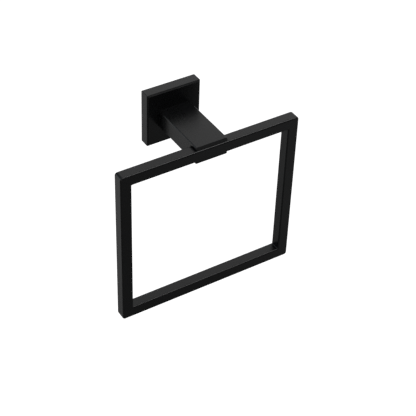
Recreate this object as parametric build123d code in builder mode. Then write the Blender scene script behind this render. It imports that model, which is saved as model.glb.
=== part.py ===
from build123d import *
import os

# Square towel ring: a post on a wall escutcheon holds the top bar of a rectangular ring in a slot.
# Sizes are in millimetres. X runs to the right, Y into the wall and Z up. The origin is the middle
# of the escutcheon's back, on the wall, so the whole object stands at negative Y.

# Escutcheon: a square cup that covers the wall bracket
escutcheon_side = 50.0
escutcheon_depth = 10.0
escutcheon_wall = 2.5
escutcheon_face = 3.0
escutcheon_chamfer = 1.2
escutcheon_corner_radius = 0.5
cavity_corner_radius = 1.0

# Ring: one frame of bar, with rounded edges
ring_width = 166.0
ring_height = 150.0
ring_projection = 70.0
bar_face = 10.0
bar_depth = 10.0
bar_edge_radius = 1.2
ring_outer_radius = 2.5
ring_inner_radius = 0.4

# Post: a rectangular arm with a slot across its front end for the ring's top bar
post_width = 29.0
lip_thickness = 2.9
lip_setback = 1.0
lip_chamfer = 1.0
slot_clearance = 0.1
post_edge_radius = 0.8

# Wall bracket: a strip of sheet, folded into a hook at the top and a flange at the bottom
bracket_gauge = 1.5
bracket_width = 26.0
bracket_bend_radius = 0.5
bracket_corner_radius = 1.5
bracket_face_clearance = 0.7
hook_height = 2.9
hook_clearance = 0.2
wall_slot_width = 4.5
wall_slot_length = 8.0
wall_slot_margin = 7.1

# Post screws: a pair from inside the escutcheon into the post's back end
post_screw_diameter = 4.0
post_screw_spacing = 15.0
post_screw_grip = 10.0
post_screw_head_diameter = 7.0
post_screw_head_height = 2.2
post_screw_head_chamfer = 0.5
post_screw_socket = 2.5
post_screw_socket_depth = 1.3
post_screw_hole_clearance = 0.25
post_screw_bottom_gap = 1.0

# Grub screws: headless screws that lock the escutcheon to its bracket and the ring to the post
grub_diameter = 4.0
grub_point_chamfer = 0.5
grub_socket = 2.0
grub_socket_depth = 1.5
bracket_grub_length = 5.0
bracket_grub_recess = 0.4
bracket_grub_stand_out = 0.9
ring_grub_recess = 0.3
thread_pad_wall = 1.2
thread_clearance = 0.05

# Places worked out from the sizes. Depths are distances from the wall, towards the room.
cavity_side = escutcheon_side - 2 * escutcheon_wall
cavity_depth = escutcheon_depth - escutcheon_face
cavity_top = cavity_side / 2

ring_middle = (bar_face - ring_height) / 2
bar_back = ring_projection - bar_depth
bar_middle = ring_projection - bar_depth / 2

slot_height = bar_face + 2 * slot_clearance
post_height = slot_height + 2 * lip_thickness
post_front = ring_projection - lip_setback

bracket_reach = cavity_depth - bracket_face_clearance
bracket_bend_outside = bracket_bend_radius + bracket_gauge
hook_back = bracket_reach - bracket_gauge
hook_top = cavity_top - hook_clearance
rib_depth = hook_back - bracket_bend_radius - hook_clearance
upper_flange_top = cavity_top - hook_height
bracket_grub_low = bracket_grub_recess - escutcheon_side / 2
lower_flange_bottom = bracket_grub_low + bracket_grub_length
bracket_grub_depth = (bracket_bend_outside + bracket_reach) / 2
thread_pad_height = lower_flange_bottom - bracket_grub_stand_out + cavity_top
wall_slot_high = upper_flange_top - bracket_gauge - wall_slot_margin
wall_slot_low = lower_flange_bottom + bracket_gauge + wall_slot_margin

post_thread_radius = post_screw_diameter / 2 + thread_clearance
grub_thread_radius = grub_diameter / 2 + thread_clearance
thread_pad_width = 2 * (grub_thread_radius + thread_pad_wall)


def grub_screw(depth, low, high):
    """A headless screw that stands upright at this depth, with its hex socket at the lower end."""
    with BuildPart() as screw:
        with BuildSketch(Plane.XY.offset(low)):
            with Locations((0, -depth)):
                Circle(grub_diameter / 2)
        extrude(amount=high - low)
        chamfer(screw.faces().sort_by(Axis.Z)[-1].edges(), grub_point_chamfer)
        with BuildSketch(Plane.XY.offset(low)):
            with Locations((0, -depth)):
                RegularPolygon(grub_socket / 2, 6, major_radius=False)
        extrude(amount=grub_socket_depth, mode=Mode.SUBTRACT)
    return screw


# Escutcheon
with BuildPart() as escutcheon:
    with BuildSketch(Plane.XZ):
        Rectangle(escutcheon_side, escutcheon_side)
    extrude(amount=escutcheon_depth)
    chamfer(escutcheon.faces().sort_by(Axis.Y)[0].edges(), escutcheon_chamfer)
    fillet(escutcheon.edges().filter_by(Axis.Y), escutcheon_corner_radius)
    with BuildSketch(Plane.XZ):
        RectangleRounded(cavity_side, cavity_side, cavity_corner_radius)
    extrude(amount=cavity_depth, mode=Mode.SUBTRACT)

    # The rib under the top wall drops behind the bracket's hook
    with BuildSketch(Plane.XZ):
        with Locations((0, cavity_top)):
            Rectangle(bracket_width, hook_height, align=(Align.CENTER, Align.MAX))
    extrude(amount=rib_depth)

    # The pad on the bottom wall gives the lock screw more thread
    with BuildSketch(Plane.XZ):
        with Locations((0, -cavity_top)):
            Rectangle(thread_pad_width, thread_pad_height, align=(Align.CENTER, Align.MIN))
    extrude(amount=cavity_depth)
    with BuildSketch(Plane.XY.offset(-escutcheon_side / 2)):
        with Locations((0, -bracket_grub_depth)):
            Circle(grub_thread_radius)
    extrude(amount=escutcheon_wall + thread_pad_height, mode=Mode.SUBTRACT)

    # The post's screws pass through the face
    with BuildSketch(Plane.XZ.offset(cavity_depth)):
        with GridLocations(post_screw_spacing, 0, 2, 1):
            Circle(post_screw_diameter / 2 + post_screw_hole_clearance)
    extrude(amount=escutcheon_face, mode=Mode.SUBTRACT)

# Post
with BuildPart() as post:
    with BuildSketch(Plane.XZ.offset(escutcheon_depth)):
        Rectangle(post_width, post_height)
    extrude(amount=post_front - escutcheon_depth)
    with BuildSketch(Plane.XZ.offset(bar_back)):
        Rectangle(2 * post_width, slot_height)
    extrude(amount=post_front - bar_back, mode=Mode.SUBTRACT)

    # The lips are chamfered outside, and their ends are eased with the post's long edges
    lip_fronts = post.faces().group_by(Axis.Y)[0]
    lip_rows = lip_fronts.edges().filter_by(Axis.X).group_by(Axis.Z)
    chamfer(lip_rows[0] + lip_rows[-1], lip_chamfer)
    side_edges = post.edges() - post.edges().filter_by(Axis.X)
    seat_edges = side_edges.filter_by(Axis.Z).filter_by_position(Axis.Y, -bar_back, -escutcheon_depth)
    fillet(side_edges - seat_edges, post_edge_radius)

    # Threads for the post's screws and for the ring's lock screw
    with BuildSketch(Plane.XZ.offset(escutcheon_depth)):
        with GridLocations(post_screw_spacing, 0, 2, 1):
            Circle(post_thread_radius)
    extrude(amount=post_screw_grip + post_screw_bottom_gap, mode=Mode.SUBTRACT)
    with BuildSketch(Plane.XY.offset(-post_height / 2)):
        with Locations((0, -bar_middle)):
            Circle(grub_thread_radius)
    extrude(amount=lip_thickness, mode=Mode.SUBTRACT)

# Ring
with BuildPart() as ring:
    with BuildSketch(Plane.XZ.offset(bar_back)):
        with Locations((0, ring_middle)):
            RectangleRounded(ring_width, ring_height, ring_outer_radius)
            RectangleRounded(
                ring_width - 2 * bar_face,
                ring_height - 2 * bar_face,
                ring_inner_radius,
                mode=Mode.SUBTRACT,
            )
    extrude(amount=bar_depth)
    fillet(ring.faces().filter_by(Axis.Y).edges(), bar_edge_radius)

# Wall bracket
with BuildPart() as wall_bracket:
    with BuildSketch(Plane.YZ):
        with BuildLine():
            FilletPolyline(
                (-hook_back, hook_top),
                (-hook_back, upper_flange_top),
                (0, upper_flange_top),
                (0, lower_flange_bottom),
                (-bracket_reach, lower_flange_bottom),
                radius=(bracket_bend_radius, bracket_bend_outside, bracket_bend_outside),
            )
            offset(amount=bracket_gauge, side=Side.RIGHT)
        make_face()
    extrude(amount=bracket_width / 2, both=True)
    hook_corners = wall_bracket.edges().filter_by(Axis.Y).group_by(Axis.Z)[-1]
    flange_corners = wall_bracket.edges().filter_by(Axis.Z).group_by(Axis.Z)[0]
    fillet(hook_corners + flange_corners, bracket_corner_radius)
    with BuildSketch(Plane.XZ):
        with Locations((0, wall_slot_high), (0, wall_slot_low)):
            SlotOverall(wall_slot_length, wall_slot_width, rotation=90)
    extrude(amount=bracket_gauge, mode=Mode.SUBTRACT)

# Post screws
with BuildPart() as post_screws:
    with BuildSketch(Plane.XZ.offset(cavity_depth - post_screw_head_height)):
        with GridLocations(post_screw_spacing, 0, 2, 1):
            Circle(post_screw_head_diameter / 2)
    extrude(amount=post_screw_head_height)
    chamfer(post_screws.faces().group_by(Axis.Y)[-1].edges(), post_screw_head_chamfer)
    with BuildSketch(Plane.XZ.offset(cavity_depth)):
        with GridLocations(post_screw_spacing, 0, 2, 1):
            Circle(post_screw_diameter / 2)
    extrude(amount=escutcheon_face + post_screw_grip)
    with BuildSketch(Plane.XZ.offset(cavity_depth - post_screw_head_height)):
        with GridLocations(post_screw_spacing, 0, 2, 1):
            RegularPolygon(post_screw_socket / 2, 6, major_radius=False)
    extrude(amount=post_screw_socket_depth, mode=Mode.SUBTRACT)

# Grub screws
bracket_lock_screw = grub_screw(bracket_grub_depth, bracket_grub_low, lower_flange_bottom)
ring_lock_screw = grub_screw(bar_middle, ring_grub_recess - post_height / 2, -bar_face / 2)

pieces = {
    "escutcheon": escutcheon,
    "post": post,
    "ring": ring,
    "wall_bracket": wall_bracket,
    "post_screws": post_screws,
    "bracket_lock_screw": bracket_lock_screw,
    "ring_lock_screw": ring_lock_screw,
}
os.makedirs("parts", exist_ok=True)
for name, piece in pieces.items():
    piece.part.label = name
    export_step(piece.part, f"parts/{name}.step")
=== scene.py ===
# %% [markdown]
# # A square towel ring in matte black
# The real thing is a wall fitting: a square escutcheon, a slotted post and a ring of square bar, all
# powder coated, with a zinc-plated bracket and a few screws behind. The solids come from CAD and
# already have their true shape, so this lesson keeps them and gives each its finish, then sets up a
# small studio and the camera.

# %% Load the solids
import math

import bpy
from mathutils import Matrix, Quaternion, Vector


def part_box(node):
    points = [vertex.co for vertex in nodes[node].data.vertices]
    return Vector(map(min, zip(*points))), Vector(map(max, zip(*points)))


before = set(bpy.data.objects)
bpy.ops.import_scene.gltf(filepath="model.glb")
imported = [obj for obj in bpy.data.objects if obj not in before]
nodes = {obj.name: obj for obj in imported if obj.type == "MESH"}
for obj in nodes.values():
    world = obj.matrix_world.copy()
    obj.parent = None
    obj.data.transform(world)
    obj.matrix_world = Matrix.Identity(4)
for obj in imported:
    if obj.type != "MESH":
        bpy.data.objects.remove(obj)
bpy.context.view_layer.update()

print("solids:", ", ".join(sorted(nodes)))

# %% [markdown]
# ## Writing shader maths as Python
# A finish is a small sum: a tone plus some grain, a roughness that wanders a little. It could be wired
# up by hand in the node editor, or written out node by node, but neither reads like a sum. So one
# small class holds a socket, and Python's own operators add the Math nodes. Every other kind of node
# comes from its one method, which makes the settings first, because some of them change the sockets.

# %% A socket that Python can reckon with
class Wire:
    """One output socket in a node tree. Sums of wires and numbers become Math nodes."""

    def __init__(self, tree, socket=None):
        self.tree = tree
        self.socket = socket

    def node(self, kind, settings=None, inputs=None, output=0):
        """Add a node of this kind: first its settings, then a number, colour or Wire for each input."""
        made = self.tree.nodes.new(kind)
        for name, value in (settings or {}).items():
            setattr(made, name, value)
        for name, value in (inputs or {}).items():
            if isinstance(value, Wire):
                self.tree.links.new(value.socket, made.inputs[name])
            else:
                made.inputs[name].default_value = value
        return Wire(self.tree, made.outputs[output] if made.outputs else None)

    def other(self, output):
        """Another output of the same node."""
        return Wire(self.tree, self.socket.node.outputs[output])

    def maths(self, operation, first, second):
        return self.node("ShaderNodeMath", {"operation": operation}, {0: first, 1: second})

    def __add__(self, number):
        return self.maths("ADD", self, number)

    def __sub__(self, number):
        return self.maths("SUBTRACT", self, number)

    def __rsub__(self, number):
        return self.maths("SUBTRACT", number, self)

    def __mul__(self, number):
        return self.maths("MULTIPLY", self, number)

    __radd__ = __add__
    __rmul__ = __mul__


def blank_tree(owner):
    """An empty node tree in a material or a world."""
    owner.use_nodes = True
    owner.node_tree.nodes.clear()
    return Wire(owner.node_tree)


noise_middle = 0.5


def noise(place, size, detail=2.0, roughness=0.5):
    """Soft noise from 0 to 1, about its middle, with lumps of this size in metres."""
    return place.node(
        "ShaderNodeTexNoise",
        inputs={"Vector": place, "Scale": 1 / size, "Detail": detail, "Roughness": roughness},
    )


def blend(share, low, high):
    """A colour between two others."""
    return share.node(
        "ShaderNodeMix",
        {"data_type": "RGBA"},
        {"Factor": share, 6: (*low, 1), 7: (*high, 1)},
        output=2,
    )


print("wire operators: + - * and node()")

# %% [markdown]
# ## Black powder coat
# The escutcheon, post and ring are coated with dry powder that melts in an oven. It flows into a
# closed, satin skin with a very fine orange peel, and its gloss is never quite even. An image of such
# a skin would need unwrapping and would show its seams. Noise on Object coordinates, at the real size
# of the grain, wraps round every edge by itself. The pigment is carbon black, so nearly all that the
# eye sees of it is gloss.

# %% Black powder coat
coat_black = (0.0022, 0.0024, 0.0027)
coat_grey = (0.0034, 0.0036, 0.0039)
coat_roughness = 0.28
coat_gloss_drift = 0.10
coat_gloss_grain = 0.05
coat_specular = 0.28
peel_size = 0.00055
peel_height = 0.000012
peel_strength = 0.35
cloud_size = 0.018
cloud_share = 0.6
fleck_size = 0.0011


def black_powder_coat():
    material = bpy.data.materials.new("black_powder_coat")
    sheet = blank_tree(material)
    place = sheet.node("ShaderNodeTexCoord", output="Object")
    cloud = noise(place, cloud_size, detail=3)
    fleck = noise(place, fleck_size)
    peel = noise(place, peel_size, detail=2.5, roughness=0.55)
    bump = sheet.node(
        "ShaderNodeBump",
        inputs={"Strength": peel_strength, "Distance": peel_height, "Height": peel},
    )
    tone = cloud * cloud_share + fleck * (1 - cloud_share)
    gloss_change = (cloud - noise_middle) * coat_gloss_drift + (fleck - noise_middle) * coat_gloss_grain
    shader = sheet.node(
        "ShaderNodeBsdfPrincipled",
        inputs={
            "Base Color": blend(tone, coat_black, coat_grey),
            "Roughness": coat_roughness + gloss_change,
            "Specular IOR Level": coat_specular,
            "Normal": bump,
        },
    )
    sheet.node("ShaderNodeOutputMaterial", inputs={"Surface": shader})
    return material


def dress(material, *names):
    """Give these solids this material."""
    for name in names:
        nodes[name].data.materials.clear()
        nodes[name].data.materials.append(material)
    print(material.name, "on", ", ".join(names))


dress(black_powder_coat(), "escutcheon", "post", "ring")

# %% [markdown]
# ## Zinc plate
# The bracket is folded from rolled strip, and the post's screws are cold headed, then all are plated
# with bright zinc. The strip keeps faint lines from the rolls under the plate, and the plate is a bit
# duller in patches. Stretching one noise along the strip gives the rolling lines.

# %% Zinc plate
zinc_pale = (0.66, 0.67, 0.68)
zinc_dull = (0.52, 0.53, 0.55)
zinc_roughness = 0.30
zinc_gloss_drift = 0.20
zinc_gloss_grain = 0.12
roll_line_width = 0.00035
roll_line_stretch = 25
roll_line_height = 0.000006
roll_line_strength = 0.3
dull_patch_size = 0.006
dull_patch_share = 0.7


def zinc_plate():
    material = bpy.data.materials.new("zinc_plate")
    sheet = blank_tree(material)
    place = sheet.node("ShaderNodeTexCoord", output="Object")
    along = sheet.node(
        "ShaderNodeMapping", inputs={"Vector": place, "Scale": (1 / roll_line_stretch, 1, 1)}
    )
    lines = noise(along, roll_line_width)
    patch = noise(place, dull_patch_size, detail=3)
    bump = sheet.node(
        "ShaderNodeBump",
        inputs={"Strength": roll_line_strength, "Distance": roll_line_height, "Height": lines},
    )
    tone = patch * dull_patch_share + lines * (1 - dull_patch_share)
    gloss_change = (patch - noise_middle) * zinc_gloss_drift + (lines - noise_middle) * zinc_gloss_grain
    shader = sheet.node(
        "ShaderNodeBsdfPrincipled",
        inputs={
            "Base Color": blend(tone, zinc_dull, zinc_pale),
            "Metallic": 1.0,
            "Roughness": zinc_roughness + gloss_change,
            "Normal": bump,
        },
    )
    sheet.node("ShaderNodeOutputMaterial", inputs={"Surface": shader})
    return material


dress(zinc_plate(), "wall_bracket", "post_screws")

# %% [markdown]
# ## Blackened steel
# Grub screws are sold blackened: a hot salt bath turns the steel's own skin to black oxide, and oil
# stays in it. It is still metal, only dark, so it is a metal with a dark colour and a soft shine.

# %% Blackened steel
oxide_black = (0.022, 0.022, 0.024)
oxide_brown = (0.045, 0.042, 0.040)
oxide_metallic = 0.85
oxide_roughness = 0.36
oxide_gloss_drift = 0.16
oxide_stain_size = 0.0015
oxide_grain_size = 0.00012
oxide_grain_height = 0.000004
oxide_grain_strength = 0.3


def blackened_steel():
    material = bpy.data.materials.new("blackened_steel")
    sheet = blank_tree(material)
    place = sheet.node("ShaderNodeTexCoord", output="Object")
    stain = noise(place, oxide_stain_size, detail=3)
    grain = noise(place, oxide_grain_size)
    bump = sheet.node(
        "ShaderNodeBump",
        inputs={"Strength": oxide_grain_strength, "Distance": oxide_grain_height, "Height": grain},
    )
    shader = sheet.node(
        "ShaderNodeBsdfPrincipled",
        inputs={
            "Base Color": blend(stain, oxide_black, oxide_brown),
            "Metallic": oxide_metallic,
            "Roughness": oxide_roughness + (stain - noise_middle) * oxide_gloss_drift,
            "Normal": bump,
        },
    )
    sheet.node("ShaderNodeOutputMaterial", inputs={"Surface": shader})
    return material


dress(blackened_steel(), "bracket_lock_screw", "ring_lock_screw")

# %% [markdown]
# ## The studio floor
# The fitting hangs on a wall, well above the ground, so the floor lies far below it, and its shadow
# there is too soft to see. The camera, a gloss or a glass sees a white floor, and all other light
# meets plain pale grey, so the white adds no light to the object.

# %% The studio floor
floor_drop = 1.2
floor_side = 10.0
floor_pale = (0.85, 0.85, 0.85, 1)
floor_glow = 0.6
up = (0, 0, 1)


def seen_directly(sheet):
    """1 for what the camera sees, by itself or in a gloss or through glass, and 0 for other light."""
    ray = sheet.node("ShaderNodeLightPath", output="Is Camera Ray")
    seen = ray + ray.other("Is Glossy Ray") + ray.other("Is Transmission Ray")
    return sheet.node("ShaderNodeClamp", inputs={"Value": seen})


def pale_floor():
    material = bpy.data.materials.new("pale_floor")
    sheet = blank_tree(material)
    matt = sheet.node("ShaderNodeBsdfDiffuse", inputs={"Color": floor_pale})
    white = sheet.node("ShaderNodeEmission", inputs={"Strength": seen_directly(sheet) * floor_glow})
    shader = sheet.node("ShaderNodeAddShader", inputs={0: matt, 1: white})
    sheet.node("ShaderNodeOutputMaterial", inputs={"Surface": shader})
    return material


def flat_sheet(name, place, facing, width, height, material):
    """A rectangle of the studio with its middle at this place."""
    bpy.ops.mesh.primitive_plane_add(size=1)
    sheet = bpy.context.object
    sheet.name = name
    sheet.scale = (width, height, 1)
    sheet.location = place
    sheet.rotation_euler = Vector(facing).to_track_quat("Z", "Y").to_euler()
    sheet.data.materials.append(material)
    return sheet


flat_sheet("studio_floor", (0, 0, -floor_drop), up, floor_side, floor_side, pale_floor())
print("floor", floor_drop, "m below the mount")

# %% [markdown]
# ## The surroundings
# A white background could be a lamp behind the object, but that would also light it. The world shows
# white only to the eye, and gives the object a lower, even light.

# %% The surroundings
ambient_level = 0.6
room_white = (1, 1, 1, 1)


def white_surroundings():
    world = bpy.data.worlds.new("white_surroundings")
    sheet = blank_tree(world)
    strength = ambient_level + seen_directly(sheet) * (1 - ambient_level)
    shader = sheet.node("ShaderNodeBackground", inputs={"Color": room_white, "Strength": strength})
    sheet.node("ShaderNodeOutputWorld", inputs={"Surface": shader})
    bpy.context.scene.world = world


white_surroundings()
bpy.context.scene.view_settings.view_transform = "Standard"
print("ambient level", ambient_level)

# %% [markdown]
# ## Cards for the gloss
# A glossy black thing takes its shades from what stands round it. A photographer sets dark and grey
# cards about it, so that most faces mirror one of them and the edges between the faces show. Here a
# card shows only in gloss: the camera doesn't see it, and it neither lights the object nor shades it.
# Each card stands where one group of faces mirrors it in the photo's view: the low cards for the front
# faces, the table's edge and the grey card for the left faces, and the others for chamfers and rounded
# edges. A dark card is also called a flag. The upper faces mirror the white room itself. The darkest
# cards are no larger than that view needs, so that from other sides the coat mirrors more of the room.

# %% Cards for the gloss
def card(name, place, facing, width, height, shade):
    """A card of this shade, from 0 for black to 1 for white, or of this colour."""
    colour = shade if isinstance(shade, tuple) else (shade, shade, shade)
    material = bpy.data.materials.new(name)
    sheet = blank_tree(material)
    shader = sheet.node("ShaderNodeEmission", inputs={"Color": (*colour, 1), "Strength": 1.0})
    sheet.node("ShaderNodeOutputMaterial", inputs={"Surface": shader})
    made = flat_sheet(name, place, facing, width, height, material)
    made.visible_camera = False
    made.visible_diffuse = False
    made.visible_transmission = False
    made.visible_shadow = False
    print(name, "shade", shade)


to_wall = (0, 1, 0)
to_right = (1, 0, 0)
up_from_behind = (0.43, -0.65, 0.62)
down_from_behind = (0.28, -0.765, -0.574)
from_window = (0.96, -0.26, -0.1)
pale_blue = (1.90, 2.25, 2.50)
slate = (0.30, 0.34, 0.38)
card("front_right_card", place=(1.2, -1.0, 0.4), facing=to_wall, width=2.0, height=3.0, shade=0.08)
card("front_left_card", place=(-0.8, -1.0, 0.4), facing=to_wall, width=2.0, height=3.0, shade=0.50)
card("low_left_card", place=(-0.2, -0.75, -0.55), facing=up, width=1.06, height=1.1, shade=0.15)
card("low_right_card", place=(0.83, -0.75, -0.55), facing=up, width=1.0, height=1.1, shade=0.30)
card("left_card", place=(-0.9, -0.35, -0.6), facing=to_right, width=1.2, height=1.1, shade=0.08)
card("table_card", place=(0.39, 0.2, -0.35), facing=up, width=0.82, height=0.8, shade=0.05)
card("table_edge_card", place=(-0.125, 0.2, -0.35), facing=up, width=0.21, height=0.8, shade=0.25)
card("grey_card", place=(-0.75, 0.75, -0.9), facing=up_from_behind, width=1.0, height=1.0, shade=0.50)
card("back_card", place=(-0.42, 1.15, 0.86), facing=down_from_behind, width=1.5, height=1.0, shade=slate)
card("window_card", place=(-1.27, 0.65, 0.25), facing=from_window, width=0.6, height=1.2, shade=pale_blue)
card("overhead_flag", place=(0.5, 0.4, 0.97), facing=up, width=1.8, height=0.4, shade=0.25)

# %% [markdown]
# ## Small flags by the post
# Where the post meets the escutcheon, its upper face mirrors the escutcheon's dark front, and stays
# dark for some way. A small flag that stands on the escutcheon's upper edge lengthens that way, and a
# paler strip on top of it lets the dark fade out. To the right of the post, the escutcheon's front
# mirrors the room between post and ring. A flag beside the post keeps it dark there, and lets it grow
# lighter towards its edge.

# %% Small flags by the post
flag_shade = 0.05
strip_shade = 0.6
edge_flag_reach = 0.0025
edge_strip_reach = 0.007
edge_flag_setback = 0.0005
side_flag_width = 0.026
side_flag_height = 0.040
side_flag_gap = 0.0015
side_flag_drop = 0.004
side_flag_distance = 0.035

plate_low, plate_high = (Vector(corner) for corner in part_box("escutcheon"))
post_high = Vector(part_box("post")[1])
plate_width = plate_high.x - plate_low.x
edge_flag_y = plate_low.y + edge_flag_setback
edge_place = (0, edge_flag_y, plate_high.z + edge_flag_reach / 2)
strip_place = (0, edge_flag_y, plate_high.z + edge_flag_reach + edge_strip_reach / 2)
side_place = (
    post_high.x + side_flag_gap + side_flag_width / 2,
    plate_low.y - side_flag_distance,
    post_high.z - side_flag_drop - side_flag_height / 2,
)
card("edge_flag", edge_place, to_wall, plate_width, edge_flag_reach, flag_shade)
card("edge_strip", strip_place, to_wall, plate_width, edge_strip_reach, strip_shade)
card("side_flag", side_place, to_wall, side_flag_width, side_flag_height, flag_shade)

# %% [markdown]
# ## A soft lamp
# One lamp hangs overhead, in front and to the right: long from side to side, so that it draws an even
# line on the bar's rounded edges, and narrow from front to back, so that the line is thin. A lamp of P
# watts lights a white card that faces it from d metres to P / (pi d) squared, so the lamp is given the
# level that it should reach, and the level and the ambient one add up to about 1.

# %% A soft lamp
lamp_level = 0.36
lamp_length = 0.8
lamp_depth = 0.4
lamp_place = Vector((0.56, -0.33, 1.18))
lamp_aim = Vector((0, -0.045, -0.05))


def soft_lamp(name, place, aim, length, depth, level):
    """A lamp that is turned to its aim, with its long side square to Y."""
    data = bpy.data.lights.new(name, "AREA")
    data.shape = "RECTANGLE"
    data.size = length
    data.size_y = depth
    lamp = bpy.data.objects.new(name, data)
    lamp.location = place
    way = aim - place
    lamp.rotation_euler = (math.asin(way.normalized().y), math.atan2(-way.x, -way.z), 0)
    data.energy = level * (math.pi * way.length) ** 2
    bpy.context.scene.collection.objects.link(lamp)
    print(name, "level", level, "at", round(data.energy, 2), "W")


soft_lamp("overhead_lamp", lamp_place, lamp_aim, lamp_length, lamp_depth, lamp_level)

# %% [markdown]
# ## The camera
# The view was found by fitting a plain camera to the straight edges in the photo: from the left and
# well above, with a long lens and a slight roll.

# %% The camera
view_azimuth = math.radians(-33.257)
view_elevation = math.radians(39.714)
view_roll = math.radians(2.175)
camera_place = Vector((-0.42568, -0.71524, 0.58451))
focal_pixels = 1226.62
image_side = 416
lens_axis = (0, 0, 1)

back = Vector(
    (
        math.sin(view_azimuth) * math.cos(view_elevation),
        -math.cos(view_azimuth) * math.cos(view_elevation),
        math.sin(view_elevation),
    )
)
camera_data = bpy.data.cameras.new("photo_view")
camera_data.lens = camera_data.sensor_width * focal_pixels / image_side
camera = bpy.data.objects.new("photo_view", camera_data)
camera.location = camera_place
camera.rotation_mode = "QUATERNION"
camera.rotation_quaternion = back.to_track_quat("Z", "Y") @ Quaternion(lens_axis, view_roll)
bpy.context.scene.collection.objects.link(camera)
bpy.context.scene.camera = camera
print("lens", round(camera_data.lens, 2), "mm")
